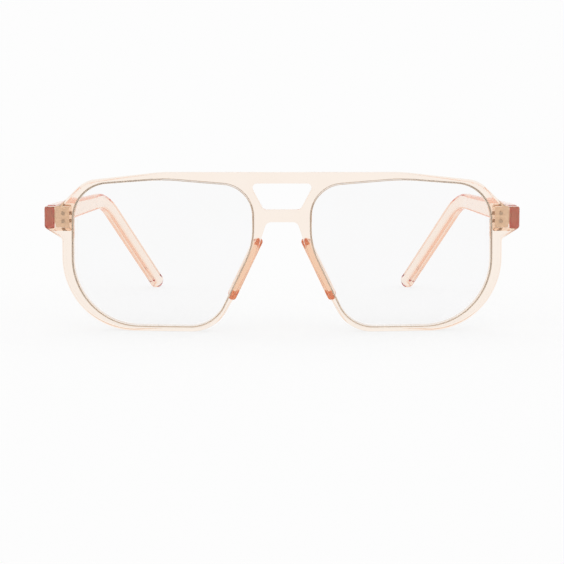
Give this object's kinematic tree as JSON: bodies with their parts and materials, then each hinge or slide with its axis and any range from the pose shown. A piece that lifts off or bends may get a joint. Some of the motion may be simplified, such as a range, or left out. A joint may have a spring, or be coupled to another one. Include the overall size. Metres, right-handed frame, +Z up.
{
  "type": "blue light glasses",
  "caption": "Clear peach plastic spectacles with a double bridge, large rounded lenses, nose pads behind the rims and temples that fold on metal barrel hinges.",
  "frame": {"origin": "middle of the whole object's width and depth, on the surface that it stands on", "axes": "+Z up, -Y the way the lenses face, +X towards the wearer's left"},
  "size_m": [0.1448, 0.1356, 0.0482],
  "materials": {
    "front_plastic": "polished clear peach plastic",
    "temple_plastic": "polished clear peach plastic",
    "pad_plastic": "polished clear peach plastic, deep where it is thick",
    "lens_clear": "clear plastic lens with a faint blue-light coating",
    "hinge_metal": "nickel silver, lightly brushed",
    "rivet_metal": "nickel silver, plain",
    "screw_steel": "bright plated steel"
  },
  "bodies": {
    "front": {"front_frame": "front_plastic", "lens_left": "lens_clear", "nose_pad_left": "pad_plastic", "front_hinge_leaf_left": "hinge_metal", "front_leaf_rivets_left": "rivet_metal", "hinge_screw_left": "screw_steel", "lens_right": "lens_clear", "nose_pad_right": "pad_plastic", "front_hinge_leaf_right": "hinge_metal", "front_leaf_rivets_right": "rivet_metal", "hinge_screw_right": "screw_steel"},
    "temple_arm_left": {"temple_left": "temple_plastic", "temple_hinge_leaf_left": "hinge_metal", "temple_leaf_rivets_left": "rivet_metal"},
    "temple_arm_right": {"temple_right": "temple_plastic", "temple_hinge_leaf_right": "hinge_metal", "temple_leaf_rivets_right": "rivet_metal"}
  },
  "joints": [
    {"name": "left_temple_fold", "type": "hinge", "parent": "front", "child": "temple_arm_left", "pos_m": [0.06765, -0.05236, 0.0341], "axis": [0, 0, 1], "range_deg": [0, 81]},
    {"name": "right_temple_fold", "type": "hinge", "parent": "front", "child": "temple_arm_right", "pos_m": [-0.06765, -0.05236, 0.0341], "axis": [0, 0, -1], "range_deg": [0, 75]}
  ]
}
